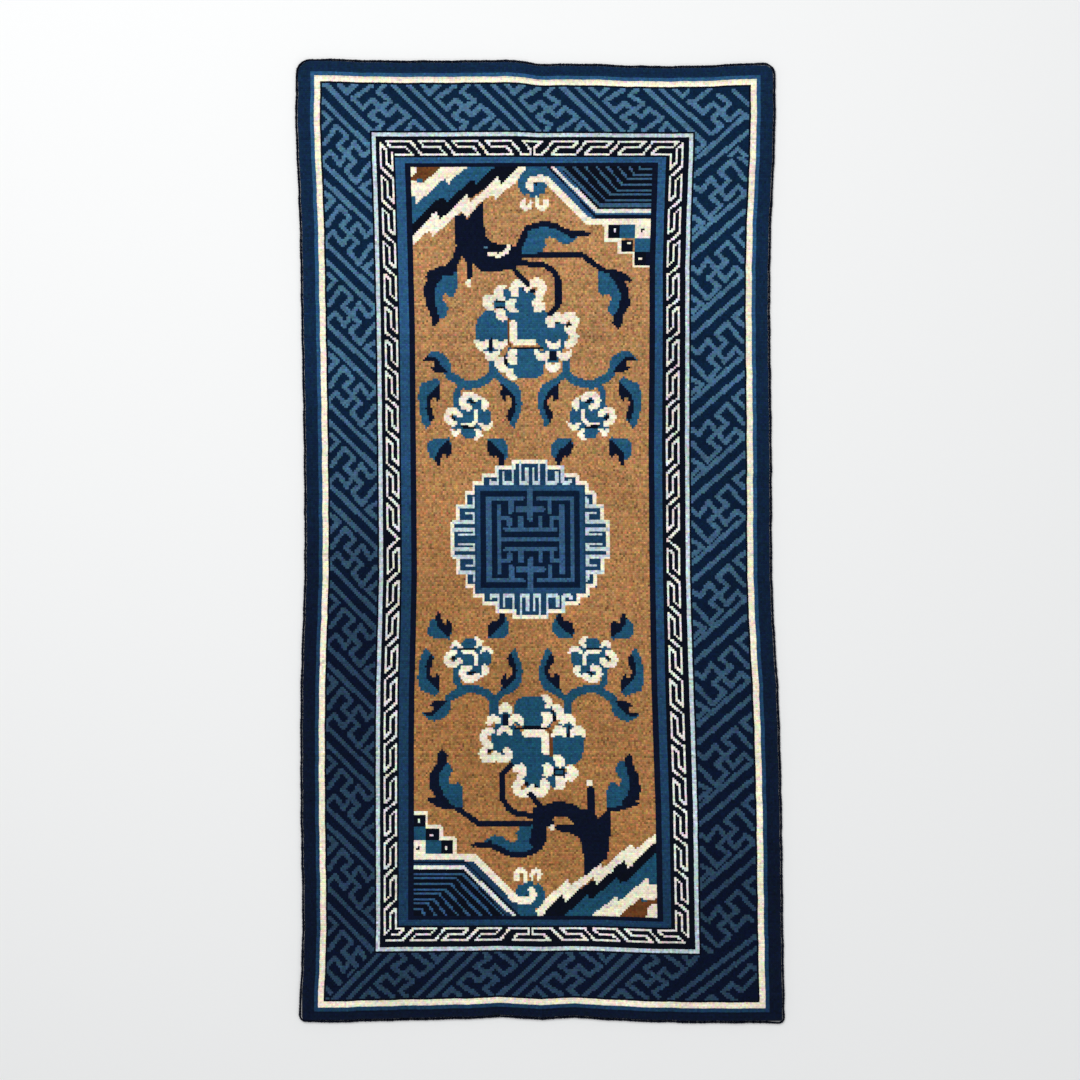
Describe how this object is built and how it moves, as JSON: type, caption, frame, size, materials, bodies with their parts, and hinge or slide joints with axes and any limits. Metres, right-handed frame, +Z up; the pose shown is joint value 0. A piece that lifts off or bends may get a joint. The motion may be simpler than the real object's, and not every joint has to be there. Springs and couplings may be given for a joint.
{
  "type": "peking rug",
  "caption": "Flat knotted wool rug with a low overcast rim, patterned borders and a plain field with floral corners and a round centre.",
  "frame": {"origin": "on the floor under the middle of the rug's box", "axes": "+Y along the rug to its far end, +X to its right side, +Z up out of the pile"},
  "size_m": [0.9312, 1.8338, 0.0102],
  "materials": {
    "wool_pile": "matte"
  },
  "bodies": {
    "root": {"rug": "wool_pile"}
  },
  "joints": []
}
